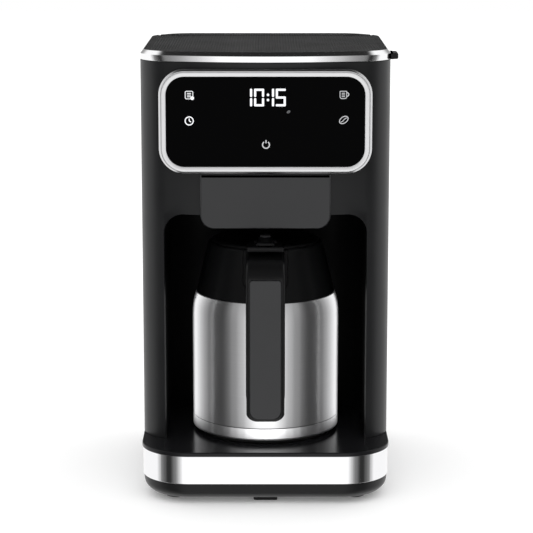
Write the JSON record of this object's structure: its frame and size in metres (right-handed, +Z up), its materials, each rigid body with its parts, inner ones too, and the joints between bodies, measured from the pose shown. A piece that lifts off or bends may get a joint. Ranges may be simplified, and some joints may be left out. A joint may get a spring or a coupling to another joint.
{
  "type": "drip coffee maker",
  "caption": "Upright drip coffee maker with a touch panel, a hinged ribbed lid, a bright base band and a steel thermal carafe that slides out of its alcove.",
  "frame": {"origin": "on the counter, at the centre of the base's footprint", "axes": "+Z up, +X to the right seen from the front, +Y to the back; the front faces -Y"},
  "size_m": [0.2142, 0.2573, 0.3724],
  "materials": {
    "pan_plastic": "fine satin",
    "rubber": "matt",
    "screw_steel": "zinc plated",
    "band_steel": "fine brushed, bright",
    "deck_plastic": "satin",
    "shell_plastic": "satin",
    "alcove_plastic": "matt",
    "lid_plastic": "fine ribbed",
    "panel_plastic": "satin",
    "bright_trim": "satin chrome plated",
    "panel_glass": "polished black glass",
    "display": "frosted light guide",
    "circuit_board": "solder mask",
    "heater_aluminium": "as extruded",
    "fuse_brass": "plain",
    "silicone_tube": "translucent silicone",
    "tank_clear": "smoked clear",
    "valve_plastic": "satin",
    "basket_plastic": "satin",
    "gold_mesh": "woven mesh",
    "seal_silicone": "silicone",
    "carafe_steel": "brushed round the body",
    "flask_steel": "drawn, satin",
    "carafe_plastic": "satin"
  },
  "bodies": {
    "machine": {"base_pan": "pan_plastic", "rubber_feet": "rubber", "centre_pad": "rubber", "cord_gland": "rubber", "pan_screws": "screw_steel", "drip_spring": "screw_steel", "base_band": "band_steel", "base_deck": "deck_plastic", "housing_front": "shell_plastic", "housing_rear": "shell_plastic", "control_pod": "shell_plastic", "rear_cap": "shell_plastic", "alcove_liner": "alcove_plastic", "brew_cover": "alcove_plastic", "top_frame": "alcove_plastic", "basket_holder": "alcove_plastic", "brew_panel": "panel_plastic", "bezel": "bright_trim", "rear_ring": "bright_trim", "touch_glass": "panel_glass", "display_module": "display", "control_board": "circuit_board", "power_board": "circuit_board", "heater": "heater_aluminium", "thermal_fuses": "fuse_brass", "cold_hose": "silicone_tube", "riser_tube": "silicone_tube", "spout": "silicone_tube", "water_tank": "tank_clear", "tank_valve": "valve_plastic", "filter_basket": "basket_plastic", "basket_handle": "basket_plastic", "gold_filter": "gold_mesh", "drip_seal": "seal_silicone"},
    "brew_lid": {"lid_plate": "shell_plastic", "lid_ring": "bright_trim", "lid_inlay": "lid_plastic", "lid_tab": "shell_plastic", "hinge_pins": "screw_steel", "shower_plate": "valve_plastic"},
    "drip_valve": {"drip_stop": "valve_plastic"},
    "carafe": {"carafe_foot": "rubber", "carafe_base": "carafe_steel", "carafe_shell": "carafe_steel", "carafe_flask": "flask_steel", "carafe_collar": "carafe_plastic", "carafe_handle": "carafe_plastic", "handle_inlay": "panel_plastic", "handle_screws": "screw_steel"},
    "stopper": {"carafe_lid": "carafe_plastic", "carafe_seal": "seal_silicone", "lever_pin": "screw_steel"},
    "lever": {"thumb_lever": "carafe_plastic"},
    "valve": {"pour_valve": "valve_plastic"}
  },
  "joints": [
    {"name": "lid_hinge", "type": "hinge", "parent": "machine", "child": "brew_lid", "pos_m": [0, 0.098, 0.3684], "axis": [-1, 0, 0], "range_deg": [0, 95]},
    {"name": "drip_travel", "type": "slide", "parent": "machine", "child": "drip_valve", "axis": [0, 0, 1], "range_m": [0, 0.003], "stiffness_N_per_m": 200, "springref_m": -0.01, "deforming": ["drip_spring"]},
    {"name": "carafe_slide", "type": "slide", "parent": "machine", "child": "carafe", "axis": [0, -1, 0], "range_m": [0, 0.19]},
    {"name": "stopper_twist", "type": "hinge", "parent": "carafe", "child": "stopper", "pos_m": [0, -0.034, 0.2], "axis": [0, 0, 1], "range_deg": [0, 40]},
    {"name": "lever_press", "type": "hinge", "parent": "stopper", "child": "lever", "pos_m": [0, -0.077, 0.2136], "axis": [1, 0, 0], "range_deg": [0, 4.5], "stiffness_Nm_per_rad": 0.6, "springref_deg": -1.72},
    {"name": "valve_lift", "type": "slide", "parent": "stopper", "child": "valve", "axis": [0, 0, 1], "range_m": [0, 0.0017]}
  ],
  "couplings": [
    {"joint": "lever_press", "follows": "valve_lift", "rad_per_m": 45.455}
  ]
}
